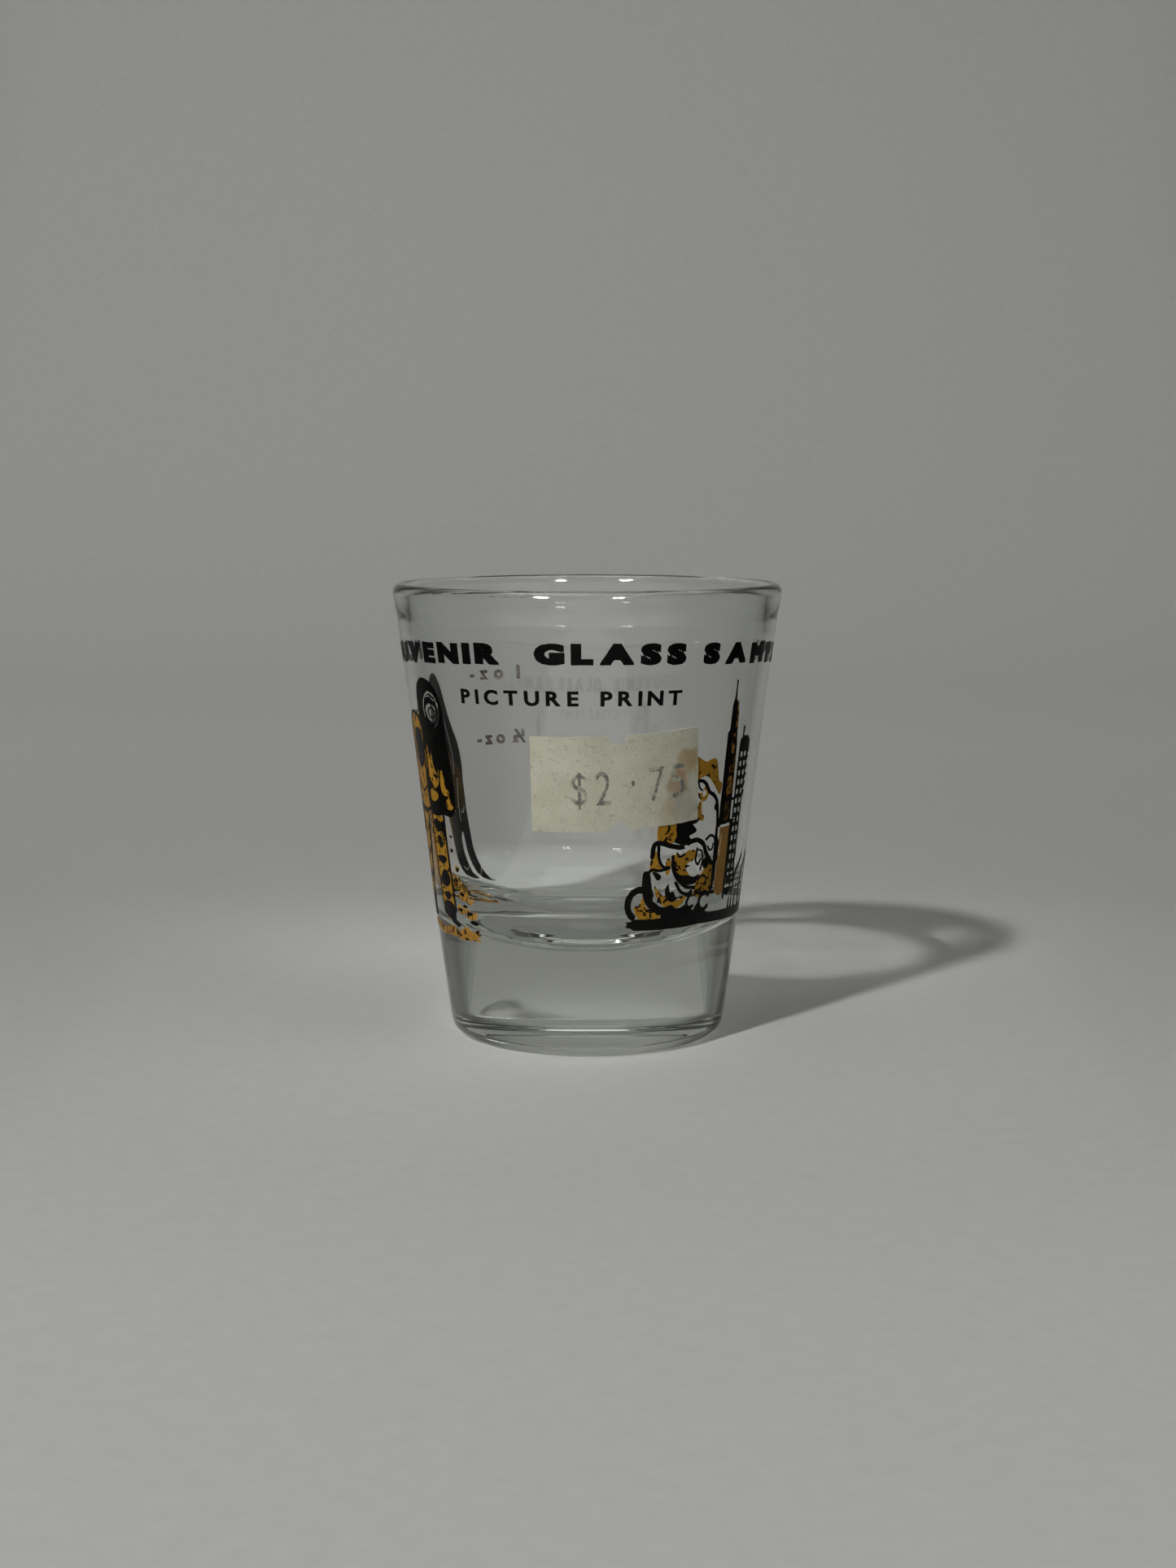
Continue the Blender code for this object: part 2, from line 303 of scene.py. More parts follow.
def divided(loop):
    """The loop with its long sides cut up."""
    out = []
    for a, b in zip(loop, np.roll(loop, -1, axis=0)):
        count = max(1, ceil(hypot(*(b - a)) / LONGEST_SIDE))
        out += [a + (b - a) * i / count for i in range(count)]
    return np.array(out)


def ragged(loop, amount):
    """Fired enamel never has a perfectly clean edge."""
    return np.array([
        [place + amount * noise.noise((x * RAGGED_SCALE, y * RAGGED_SCALE, slice_of_noise))
         for place, slice_of_noise in ((x, 0.3), (y, 7.7))]
        for x, y in loop
    ])


def within(points, loop):
    """Which points are inside the loop."""
    x, y = points[:, 0], points[:, 1]
    crossed = np.zeros(len(points), bool)
    for (a, b), (c, d) in zip(loop, np.roll(loop, -1, axis=0)):
        if b != d:
            crossed ^= ((b > y) != (d > y)) & (x < a + (y - b) / (d - b) * (c - a))
    return crossed


def painted(steps, rough=0.05):
    """The inked area, as flat points in millimetres and triangles.

    Each step inks or bares what is inside its outline, and every loop after the first is a hole in it.
    """
    steps = [
        (what, [ragged(divided(np.array(loop, float)), rough) for loop in loops])
        for what, *loops in steps
    ]
    flat, edges = [], []
    for loop in (loop for _, loops in steps for loop in loops):
        start, count = len(flat), len(loop)
        flat += [tuple(p) for p in loop]
        edges += [(start + i, start + (i + 1) % count) for i in range(count)]
    low, high = np.array(flat).min(axis=0), np.array(flat).max(axis=0)
    for row, y in enumerate(np.arange(low[1] + 0.3, high[1], GRID[1])):
        for x in np.arange(low[0] + 0.25 * (row % 2), high[0], GRID[0]):
            flat.append((x, y))
    found = delaunay_2d_cdt([Vector(p) for p in flat], edges, [], 0, 1e-5)
    points = np.array([tuple(p) for p in found[0]])
    triangles = np.array(found[2])
    centres = points[triangles].mean(axis=1)
    inked = np.zeros(len(triangles), bool)
    for what, loops in steps:
        hit = np.zeros(len(triangles), bool)
        for loop in loops:
            hit ^= within(centres, loop)
        inked[hit] = what == INK
    triangles = triangles[inked]
    used, index = np.unique(triangles, return_inverse=True)
    return points[used], index.reshape(-1, 3)


def on_wall(points, offset):
    """Flat (degrees * DEGREE, height) points wrapped round the wall."""
    angle = np.radians(points[:, 0] / DEGREE)
    height = points[:, 1]
    radius = outer_radius(height) + offset
    return np.stack([radius * np.sin(angle), -radius * np.cos(angle), height], 1)


def on_label(points, offset):
    """Flat label points, with (0, 0) at its centre, rolled onto the wall without stretching."""
    angle, height = LABEL_CENTRE
    slope = atan(outer_radius(height + 1) - outer_radius(height))
    to_apex = outer_radius(height) / sin(slope)
    tilt = radians(LABEL_TILT)
    x = points[:, 0] * cos(tilt) - points[:, 1] * sin(tilt)
    y = to_apex + points[:, 0] * sin(tilt) + points[:, 1] * cos(tilt)
    around = angle + np.degrees(np.arctan2(x, y) / sin(slope))
    up = height + (np.hypot(x, y) - to_apex) * cos(slope)
    return on_wall(np.stack([around * DEGREE, up], 1), offset)


def film(name, area, layer, paint, cad_node, place=on_wall):
    """A thin closed film over the flat area, riding on the glass in place of its CAD node."""
    flat, triangles = area
    count = len(flat)
    points = np.vstack([place(flat, layer[0]), place(flat, layer[1])])
    directed = {tuple(e) for tri in triangles.tolist() for e in zip(tri, tri[1:] + tri[:1])}
    rims = [(a, b) for a, b in directed if (b, a) not in directed]
    faces = [tuple(t[::-1]) for t in triangles.tolist()]
    faces += [tuple(i + count for i in t) for t in triangles.tolist()]
    faces += [(a, b, b + count, a + count) for a, b in sorted(rims)]
    item = add_mesh(name, points, faces)
    item.data.set_sharp_from_angle(angle=radians(40))
    item.data.materials.append(paint)
    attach(item, "root")
    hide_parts(cad_node)


def in_mm(steps):
    """The steps with their angles turned into widths."""
    return [(what, *([(a * DEGREE, z) for a, z in loop] for loop in loops)) for what, *loops in steps]


def glyph(letter, cap, bold, stretch):
    """The loops of one letter, starting at x = 0 on its base line, and its width."""
    if letter == " ":
        return [], 0.0
    text = bpy.data.curves.new("glyph", "FONT")
    text.body = letter
    text.size = (cap - 2 * bold) / FONT_CAP
    text.offset = bold
    text.fill_mode = "FRONT"
    text.resolution_u = 3
    item = bpy.data.objects.new("glyph", text)
    bpy.context.collection.objects.link(item)
    bpy.context.view_layer.update()
    mesh = item.to_mesh()
    points = np.array([tuple(v.co)[:2] for v in mesh.vertices])
    uses = {}
    for face in mesh.polygons:
        for key in face.edge_keys:
            uses[key] = uses.get(key, 0) + 1
    nexts = {}
    for a, b in sorted(key for key, count in uses.items() if count == 1):
        nexts.setdefault(a, []).append(b)
        nexts.setdefault(b, []).append(a)
    loops, seen = [], set()
    for start in sorted(nexts):
        if start in seen:
            continue
        route, here = [], start
        while here is not None:
            route.append(here)
            seen.add(here)
            here = next((n for n in nexts[here] if n not in seen), None)
        loops.append(points[route])
    item.to_mesh_clear()
    bpy.data.objects.remove(item)
    bpy.data.curves.remove(text)
    left = min(loop[:, 0].min() for loop in loops)
    right = max(loop[:, 0].max() for loop in loops)
    loops = [(loop - (left, -bold)) * (stretch, 1) for loop in loops]
    return loops, (right - left) * stretch


def new_material(name):
    made = bpy.data.materials.new(name)
    made.use_nodes = True
    return made, made.node_tree, made.node_tree.nodes["Principled BSDF"]


def node(tree, kind, **values):
    """A new node, with its inputs or its own settings given by name."""
    made = tree.nodes.new(kind)
    for key, value in values.items():
        if key in made.inputs:
            made.inputs[key].default_value = value
        else:
            setattr(made, key, value)
    return made


def own_place(tree):
    """The object's own coordinates, which are metres."""
    return node(tree, "ShaderNodeTexCoord").outputs["Object"]


def maths(tree, operation, *values):
    """Arithmetic on sockets and plain numbers."""
    made = node(tree, "ShaderNodeMath", operation=operation)
    for value, socket in zip(values, made.inputs):
        if isinstance(value, float):
            socket.default_value = value
        else:
            tree.links.new(value, socket)
    return made.outputs[0]


def remapped(tree, value, span, smooth=False):
    """A value carried over from one span to another."""
    made = node(tree, "ShaderNodeMapRange", interpolation_type="SMOOTHSTEP" if smooth else "LINEAR")
    for name, number in zip(("From Min", "From Max", "To Min", "To Max"), span):
        made.inputs[name].default_value = number
    tree.links.new(value, made.inputs["Value"])
    return made.outputs["Result"]


def speckle(tree, scale, detail=4.0, roughness=0.55, distortion=0.0):
    """A noise pattern."""
    made = node(tree, "ShaderNodeTexNoise", Scale=scale, Detail=detail)
    made.inputs["Roughness"].default_value = roughness
    made.inputs["Distortion"].default_value = distortion
    tree.links.new(own_place(tree), made.inputs["Vector"])
    return made.outputs["Fac"]


def ramp(tree, fac, stops):
    """Colours, or plain shares, laid along a value."""
    made = tree.nodes.new("ShaderNodeValToRGB")
    elements = made.color_ramp.elements
    while len(elements) < len(stops):
        elements.new(0.5)
    for element, (place, value) in zip(elements, stops):
        element.position = place
        element.color = (*(value if isinstance(value, tuple) else (value,) * 3), 1)
    tree.links.new(fac, made.inputs["Fac"])
    return made.outputs["Color"]


def bump(tree, fac, shader, strength, distance):
    made = node(tree, "ShaderNodeBump", Strength=strength, Distance=distance)
    tree.links.new(fac, made.inputs["Height"])
    tree.links.new(made.outputs["Normal"], shader.inputs["Normal"])


def enamel(name):
    """Screen-printed enamel, fired on: glossy, grainy, and dark in spots where black lies over it."""
    dark, light, mottle = ENAMELS[name]
    made, tree, shader = new_material(name)
    colour = ramp(tree, speckle(tree, 700), [(0.35, dark), (0.65, light)])
    if mottle:
        share = ramp(tree, speckle(tree, 1050, 1.5, 0.5, 1.2), [(mottle, 0), (mottle + 0.025, 1)])
        colour = tinted(tree, colour, share, OVERPRINT, 1.0)
    tree.links.new(colour, shader.inputs["Base Color"])
    rough = remapped(tree, speckle(tree, 1500), (0, 1, 0.3, 0.5))
    tree.links.new(rough, shader.inputs["Roughness"])
    bump(tree, speckle(tree, 5000, 2.0), shader, 0.3, 0.00002)
    shader.inputs["Specular IOR Level"].default_value = 0.12
    return made


def label_paper():
    """Aged cream paper: fibres, foxing, and stains where the prints under it show through."""
    made, tree, shader = new_material("label_paper")
    cream = [(0.3, (0.53, 0.52, 0.395)), (0.7, (0.65, 0.64, 0.51))]
    colour = ramp(tree, speckle(tree, 260, 6.0, 0.6), cream)
    for scale, tint in ((1100, (0.44, 0.40, 0.28)), (2600, (0.3, 0.28, 0.2))):
        foxing = ramp(tree, speckle(tree, scale), [(0.60, 0), (0.68, 1)])
        colour = tinted(tree, colour, foxing, tint, 0.55)
    for (angle, height), reach, tint, share in SHOW_THROUGH:
        colour = tinted(tree, colour, stain(tree, angle, height, reach), tint, share)
    tree.links.new(colour, shader.inputs["Base Color"])
    shader.inputs["Roughness"].default_value = 0.75
    bump(tree, speckle(tree, 900, 8.0, 0.7, 1.5), shader, 0.5, 0.00006)
    return made


def colour_socket(sockets, name):
    """A Mix node has a socket of one name for each kind of value."""
    return next(socket for socket in sockets if socket.name == name and socket.type == "RGBA")


def tinted(tree, colour, mask, tint, share):
    """The colour, mixed with a share of the tint where the mask is white."""
    made = node(tree, "ShaderNodeMix", data_type="RGBA")
    tree.links.new(maths(tree, "MULTIPLY", mask, share), made.inputs["Factor"])
    tree.links.new(colour, colour_socket(made.inputs, "A"))
    colour_socket(made.inputs, "B").default_value = (*tint, 1)
    return colour_socket(made.outputs, "Result")


def stain(tree, angle, height, reach):
    """A soft uneven blot round a place on the wall."""
    centre = on_wall(np.array([[angle * DEGREE, height]]), 0)[0] * MM
    gap = node(tree, "ShaderNodeVectorMath", operation="DISTANCE")
    gap.inputs[1].default_value = tuple(centre)
    tree.links.new(own_place(tree), gap.inputs[0])
    wobble = speckle(tree, 700, 3.0, 0.5)
    shifted = maths(tree, "MULTIPLY_ADD", wobble, 1.6 * reach * MM, gap.outputs["Value"])
    return remapped(tree, shifted, (1.5 * reach * MM, 2.1 * reach * MM, 1, 0), smooth=True)


def price_ink():
    """Faded, broken machine print on the label."""
    made, tree, shader = new_material("price_ink")
    colour = ramp(tree, speckle(tree, 1300), [(0.46, (0.17, 0.17, 0.14)), (0.60, (0.46, 0.45, 0.35))])
    tree.links.new(colour, shader.inputs["Base Color"])
    shader.inputs["Roughness"].default_value = 0.8
    return made


def rocket_art():
    """The rocket: a dark hull with a spire, its lit side open in windows and stripes."""
    hull = [
        (50.3, 28.3), (57, 28.3), (56.6, 34), (56.2, 38.1), (55.2, 39.8), (54.7, 41.3), (54, 43.2),
        (53.1, 43.7), (52.9, 44.5), (52.2, 44.5), (51.9, 43.6), (51.4, 42.9), (51.3, 40), (50.4, 39.7),
    ]
    steps = [(INK, hull), stroke([(52.5, 44.2), (52.5, 46)], 0.22)]
    steps += [
        (BARE, [(53.9, 43.1), (54.5, 42.6), (55, 41.5), (54.4, 41.3), (54, 42.2)]),
        (BARE, [(54.1, 41), (55.1, 41.1), (55.3, 40.2), (54.3, 40.2)]),
        (BARE, [(53, 39.4), (54.6, 39.5), (55, 38.2), (54.9, 37), (53.4, 37), (53.1, 38.2)]),
        pane(53.2, 53.8, 34.6, 36.6),
        pane(54.6, 55.2, 34.6, 36.7),
        pane(55.6, 56, 32, 36.7),
        pane(52.9, 55.3, 31.6, 34.2),
        pane(53, 53.5, 28.7, 30.9),
        pane(54.3, 54.9, 28.7, 31.1),
        pane(55.3, 55.7, 28.9, 30.8),
    ]
    pipe = [(49, 29), (51.8, 29.2), (51.7, 28.2), (50.3, 27.9), (50.2, 20.5), (51.2, 20.4), (49, 20)]
    steps += [
        (INK, pipe),
        (INK, [(50.2, 27), (51.4, 26.2), (51.5, 24.1), (51, 23.3), (51.2, 21.5), (50.2, 21)]),
        stroke([(49.6, 20.6), (48.6, 20.5)], 0.5),
        (INK, [(57.2, 28.5), (58.5, 28.4), (58.6, 22.3), (58.7, 18.5), (57.5, 18.8), (57.3, 22.7)]),
        stroke([(55, 31.3), (58.8, 31.2)], 0.36),
        stroke([(52, 28.4), (59.4, 28.5)], 0.42),
    ]
    return steps


def rocket_gold_art():
    """The stripes and windows on the rocket's lit side, which show through the hull's openings."""
    return [(INK, [
        (52.6, 28.3), (56.4, 28.3), (56.5, 33), (56, 37.8), (55.4, 41.7), (54.4, 43.6), (53.4, 43.3),
        (52.9, 39.7),
    ])]


def gantry_art():
    """The solid gold block below the rocket, with one crack in it."""
    wall = [
        (51.2, 27.9), (57.4, 27.9), (57.7, 23.2), (57.6, 19.3), (54, 19.2), (51.3, 20), (51.6, 21.7),
        (51.3, 23.1), (51.8, 24.8), (51.4, 26.6),
    ]
    return [(INK, wall), scratch([(52.6, 27), (52.4, 24.3)], 0.12)]


def tower_art():
    """The lattice tower: two columns of bays that lean a little, a domed cap and a mast."""
    steps = [(INK, [
        (58.2, 37.8), (58.6, 38.6), (60.4, 39), (63.6, 38.9), (65.4, 38.3), (65.5, 36.9), (64.6, 36.5),
        (64.4, 30.9), (64.6, 24.8), (65, 22.1), (66.4, 20.6), (65.2, 20.4), (63.6, 22.3), (62.8, 20.1),
        (59, 20.5), (58.7, 26.8), (58.3, 32),
    ])]
    steps += [stroke([(60, 38.7), (60, 40.1)], 0.28), stroke([(59.5, 40), (60.6, 40)], 0.16)]
    for row in range(14):
        low = 21.2 + row * 1.166
        for left in (59.3, 62.1):
            shift = 0.16 * sin(row * 2.4 + left)
            steps.append(pane(left + shift, left + 1.55 + shift, low, low + 0.62))
    for row in range(5):
        low = 31.4 + row * 1.1
        steps.append(stroke([(64.4, low), (65.2, low + 0.5)], 0.3))
    return steps


def smoke_gold_art():
    """Amber billows, from the ground up to the plume beside the rocket."""
    return [
        blob([
            (31, 35), (33.6, 36.7), (36.6, 37.2), (39.5, 36.7), (41.6, 36.4), (44, 36.7), (46.2, 36.5),
            (47.4, 35.1), (48.2, 33.9), (50, 33.4), (49.4, 32.1), (47.4, 32.8), (45, 33.8), (42, 34.6),
            (38, 34.2), (34.6, 33.4), (33.6, 31.6), (31, 30.9), (29, 32), (28.8, 33.6),
        ]),
        blob([(26, 31.6), (29.6, 31.9), (31.6, 29.5), (31.2, 27.2), (27.6, 26.4), (24.4, 27), (24, 28.9)]),
        blob([(21.8, 23.7), (22.4, 25.4), (23.6, 25.9), (25, 25), (26.4, 23.8), (24.2, 23.2)]),
        blob([(27.6, 24.1), (28.8, 24.9), (29.8, 24.2), (29.4, 23), (28, 22.9)]),
        blob([
            (30.2, 23.9), (31.6, 25.3), (34.4, 25.1), (36.8, 25.6), (40.2, 25.4), (39.4, 24.3),
            (37.2, 24.1), (36, 23.4), (38.6, 22.1), (35, 21.9), (31.8, 22.5),
        ]),
        blob([
            (40.8, 20.8), (41.8, 22.2), (43.6, 22.4), (45, 23.2), (47.2, 23.6), (48.9, 23.3), (49, 20.6),
            (46.8, 19.6), (42.6, 19.5), (40.4, 20),
        ]),
        blob([
            (23.8, 21.6), (25.2, 21), (27.4, 20.2), (30, 20.1), (33.2, 19.5), (36.8, 20), (36, 19.1),
            (33, 18.5), (29.6, 18.6), (26.4, 19.3), (24.6, 20.4),
        ]),
        blob([
            (16.4, 19), (18.2, 19.2), (19.6, 20.1), (21, 19), (23.8, 18.5), (26.8, 17.8), (25, 17),
            (21, 17.1), (18, 17.7),
        ]),
        blob([
            (38.8, 32.6), (39.8, 31.9), (42, 31.5), (43.8, 32.4), (42.8, 33.4), (41.4, 33.2), (40.4, 32.6),
        ]),
        opening([(40.8, 32.9), (42, 32.9), (42.6, 32.4), (41.2, 32.1)]),
        blob([(38.6, 29.7), (41.6, 29.1), (42.5, 29.6), (41.2, 30.1), (40.6, 31.6), (39.4, 31.2)]),
        blob([(34.8, 17.7), (36.8, 18.1), (38.6, 17.7), (37, 17.3)]),
    ]


def smoke_black_art():
    """Dark curls drawn round the billows, with specks scattered in the amber."""
    steps = [
        stroke(ring((18.4, 19.3), 4.2, 1.85, 20, 235), 0.85),
        stroke([(20.6, 23), (20.5, 21.5), (21.4, 19.9), (24, 18.9), (27.4, 18.3), (31, 18.5)], 1),
        stroke([(20.9, 22.9), (21.6, 21.3), (22.4, 20.4)], 0.9),
        stroke([(20.8, 23.1), (22.8, 23.6), (25.6, 23.4), (29.2, 23.7)], 0.36),
        blob([(22.8, 23.3), (24.6, 23.2), (26.2, 22.6), (25, 22.2), (23.8, 22.6)]),
        stroke([
            (22.4, 25.2), (23, 26.6), (25.4, 26.8), (30, 26.3), (34, 26.1), (37.6, 26.7), (41, 26.7),
            (43.6, 26), (45, 25), (47, 24.1), (48.4, 23.6),
        ], 0.62),
        stroke([(24.6, 26.4), (24.9, 25), (26.6, 23.9), (28.6, 23.7)], 0.4),
        (INK, [
            (31, 29.1), (33.8, 29.4), (40.8, 29.5), (39.2, 28.9), (37.6, 28.8), (39.6, 28.1), (39.4, 27.8),
            (36.4, 27.4), (38, 26.6), (33, 26.4), (30.4, 26.8), (31.4, 27.6), (30.9, 28.3),
        ]),
        opening([(34.6, 26.2), (35.8, 26.3), (36.6, 26), (35.4, 25.9)]),
        stroke([(30.4, 25), (30.8, 23.5), (33, 22.1), (36.6, 21.1), (40.6, 20.8)], 0.46),
        blob([
            (31.8, 23.1), (34, 22.6), (37, 22.5), (40, 22.2), (42.4, 22.4), (41, 21.4), (36.6, 21.3),
            (33.2, 21.9),
        ]),
        stroke([(32, 25.4), (33.2, 24.9), (35.2, 25.2)], 0.24),
        stroke([(32.2, 21.7), (34.4, 20.6), (37.4, 20.1), (39.4, 20.4)], 0.42),
        stroke([(38.6, 19.8), (37.6, 19), (38.6, 18.4), (40.6, 18.5)], 0.4),
        stroke(ring((46.2, 18.9), 2.6, 1.05, 40, 320), 0.5),
        blob([(41, 17.5), (43.6, 19), (45, 17.8), (46.8, 17.7), (48.4, 17.3)]),
        blob([(27.4, 17.4), (30.6, 18.5), (34.4, 18.5), (37.6, 18.8), (40, 18.2), (42.6, 17.4)]),
        stroke([
            (37.6, 34), (40, 34.1), (42.2, 33.6), (44, 32.6), (46.4, 32.1), (48.2, 31.2), (49.2, 29.7),
            (49.6, 28.5),
        ], 0.46),
        stroke([(48.4, 31.4), (47.5, 30.6), (48.4, 30.2)], 0.3),
        stroke([(38.6, 34), (39.4, 33.2), (40.6, 32.9)], 0.24),
        stroke([(44.6, 26.7), (46.4, 27.1), (48.6, 26.8), (49.4, 26)], 0.34),
        stroke([(45.6, 25.8), (46.6, 25.3), (48, 25.4), (48.4, 26)], 0.26),
        stroke([(40.6, 25.7), (40.2, 24.3), (41.4, 23.7), (42.6, 24.3)], 0.3),
        stroke([(41.4, 25.5), (43, 25.2), (43.6, 24.1), (42.8, 23)], 0.26),
        blob([(43.6, 23.9), (45.6, 24.6), (47.4, 24.1), (46.4, 23.2), (44.6, 23.1)]),
        stroke([(41.8, 21.8), (44.4, 22.2), (46.6, 21.7)], 0.26),
        stroke([(41.4, 20.3), (43.6, 20), (46.2, 20.1)], 0.4),
        blob([(28, 20.7), (29.2, 21.6), (30, 20.6), (31.6, 20.6), (32.4, 19.5), (29.8, 19.5)]),
    ]
    for centre, half_width, half_height, count in (
        ((29.8, 19.6), 5.4, 0.62, 15),
        ((21.4, 18.2), 4.6, 0.7, 14),
        ((34.6, 24.1), 3.6, 1, 9),
        ((27.4, 27.5), 2, 0.7, 6),
        ((44, 19.9), 2.8, 0.4, 5),
    ):
        steps += specks(centre, half_width, half_height, count)
    return steps


def ground_art():
    """The black line under the right-hand picture, with ridges and tufts towards the side."""
    strip = [
        (13.6, 16.5), (14.2, 17), (13.4, 17.3), (15, 17.2), (17, 17.5), (24, 17.4), (30, 17.5), (44, 17.4),
        (60, 17.2), (74, 17), (98, 16.8), (98.6, 16.1), (94, 15.7), (80, 15.8), (60, 15.9), (44, 16.1),
        (36, 16), (24, 16), (16.6, 16.1), (15.6, 16.4),
    ]
    steps = [(INK, strip)]
    for left in (64.5, 73, 81.5, 90):
        ridge = [(left, 19), (left + 1.4, 19.8), (left + 2.4, 21.4), (left + 5.2, 22.2), (left + 8, 23.4)]
        steps.append(stroke(ridge, 0.32))
    for left in (63.6, 66, 69.2, 75, 83, 88):
        steps.append(blob([(left - 0.8, 16.9), (left - 0.2, 18.6), (left + 0.5, 17.4), (left + 1.4, 16.9)]))
    return steps


# The figure's pack and far arm, and its far leg
PACK = [
    (-65, 39.2), (-70, 41.2), (-76, 41.4), (-82, 40), (-85.6, 37), (-87.6, 32), (-88, 27.6), (-85.4, 26),
    (-82.8, 27.8), (-81.4, 31), (-78.4, 29.6), (-68, 29.6), (-66, 33),
]
FAR_LEG = [
    (-70.8, 28.8), (-79.6, 28.8), (-81, 24.4), (-82.6, 20.2), (-85.4, 17.4), (-86.6, 16.2), (-84, 15.6),
    (-78.6, 15.7), (-77, 17.6), (-75, 21.4), (-72.8, 25.2),
]


def astronaut_back():
    """The outline and the folds of the figure's pack, far arm and far leg."""
    steps = [
        stroke(PACK + PACK[:1], 0.42),
        stroke(FAR_LEG + FAR_LEG[:1], 0.42),
        blob([(-76.8, 16), (-79, 18.6), (-82.6, 18.2), (-86.2, 16.6), (-85, 15.5), (-78, 15.5)]),
        blob([(-68, 38.6), (-73, 39.6), (-76.4, 38.4), (-76, 35.4), (-72, 34.6), (-68.2, 35.6)]),
    ]
    folds = (
        ((-78.4, 40), (-80, 36.6), (-79.4, 33.2), (-80.8, 31.2)),
        ((-84.8, 36.4), (-83, 35), (-81.6, 35.4)),
        ((-86.6, 32.4), (-84.4, 31.2), (-82.4, 31.8)),
        ((-87, 29.2), (-85.2, 28.4), (-83.8, 28.8)),
        ((-77.4, 32.4), (-73.4, 31.6), (-69.4, 32.2)),
        ((-72.4, 27.4), (-75.4, 26.4), (-78.6, 27.2)),
        ((-74.2, 24.4), (-76.8, 23.4), (-79.4, 24)),
        ((-76.2, 21.2), (-78.4, 20.4), (-80.6, 21)),
    )
    return steps + [stroke(fold, 0.34) for fold in folds]


def astronaut_art():
    """A generic suited figure: closed helmet, dark suit with open folds, banded trouser leg."""
    steps = [
        blob([
            (-68, 42.3), (-66.8, 44.8), (-63, 46), (-58, 45.9), (-53.4, 44.6), (-51.2, 42.1), (-51, 39.6),
            (-50.2, 36.1), (-49.4, 32.6), (-49.8, 30.1), (-52.6, 29.1), (-57, 29.2), (-61.4, 28.9),
            (-66.6, 29.2), (-68.6, 31.4), (-68, 35.1), (-67.2, 38.8),
        ]),
        scratch(ring((-58.2, 42.2), 4.7, 2.15, -70, 205), 0.3),
        opening([(-61.8, 42.3), (-58.6, 43), (-55.2, 42.5), (-54.6, 41.5), (-56.8, 40.7), (-60.2, 41.1)]),
        stroke(ring((-57.8, 41.9), 1.9, 0.62, 20, 330), 0.2),
        scratch([(-61.4, 43.7), (-58.4, 43.9), (-55.6, 43.4)], 0.16),
    ]
    steps += suit_folds()
    steps += [
        stroke([(-57.6, 29.3), (-57.4, 24.8), (-56.6, 20.4), (-56, 17.1)], 0.4),
        blob([
            (-66.4, 27.9), (-63.6, 28.5), (-60.6, 28.1), (-58.2, 28.3), (-58, 26.2), (-60.4, 27),
            (-63.6, 26.8),
        ]),
        blob([(-64.2, 26), (-61.6, 26.4), (-60, 25.4), (-62.4, 24.8)]),
        blob([(-65.8, 23.6), (-62, 23.9), (-58.6, 23.7), (-60.2, 23), (-63.4, 22.9)]),
        blob([(-65, 21), (-62, 22.1), (-58.8, 21.9), (-57.8, 20.8), (-60.6, 20), (-64.4, 20.2)]),
        blob([(-64, 19), (-60.4, 19.4), (-58.2, 19), (-60.8, 18.3)]),
        blob([
            (-65.2, 17.5), (-61.8, 18.2), (-57.4, 17.9), (-56.4, 16.7), (-57.6, 15.7), (-62, 16.1),
            (-65.6, 16.5),
        ]),
        blob([(-60, 15.7), (-57, 16), (-54, 15.5), (-55.6, 15.1)]),
        stroke([(-66.6, 29.1), (-67.4, 26.2), (-66.8, 22.5), (-66, 17.5)], 0.3),
    ]
    return steps


def suit_folds():
    """Where the amber shows through the suit."""
    return [
        opening([
            (-66.8, 35.3), (-66.4, 37.1), (-65.2, 36.3), (-64.2, 37.8), (-63, 36.3), (-61.6, 36.9),
            (-60.6, 35.1), (-58.6, 34.2), (-57.6, 34.9), (-58.2, 33.2), (-61, 32.3), (-63.4, 33),
            (-65.6, 33.6),
        ]),
        opening([
            (-57.2, 33.2), (-56.2, 34.7), (-54.6, 34.5), (-54.4, 32.9), (-52.4, 32.2), (-53.6, 31.6),
            (-56.6, 32),
        ]),
        opening([(-54.6, 31.2), (-53, 31.8), (-51.8, 30.9), (-50.6, 30.3), (-52.6, 30), (-54.6, 30.2)]),
        opening([(-66.2, 31.8), (-62.6, 32.3), (-59.6, 31.7), (-61, 30.9), (-64.8, 30.7)]),
    ]


def astronaut_gold_art():
    """The amber that shows in the folds, and the whole trouser leg."""
    leg = [
        (-66.8, 28.9), (-58, 28.9), (-57.6, 24.8), (-56.8, 20.6), (-56.2, 17.3), (-57.2, 15.9),
        (-62, 15.8), (-66, 16.5), (-66.8, 20.6), (-68.2, 24.8), (-68.6, 27.2),
    ]
    patch = [(-67.6, 38.1), (-59.6, 38.1), (-50, 34.7), (-49.8, 29.9), (-67.6, 29.9)]
    return [(INK, leg), (INK, patch), blob(PACK), blob(FAR_LEG)]


# Outlines of broken ground and of the dark splits in it, as shares of their width and height
LUMP = ((0, 0.4), (0.25, 1), (0.6, 0.7), (1, 0.8), (0.9, 0.2), (0.4, 0))
SPLIT = ((0, 0.5), (0.4, 1), (1, 0.6), (0.7, 0), (0.3, 0.1))


def scattered(shape, left, low, width, height):
    """One piece of ground, its outline stretched to a width and a height."""
    return blob([(left + width * x, low + height * y) for x, y in shape])


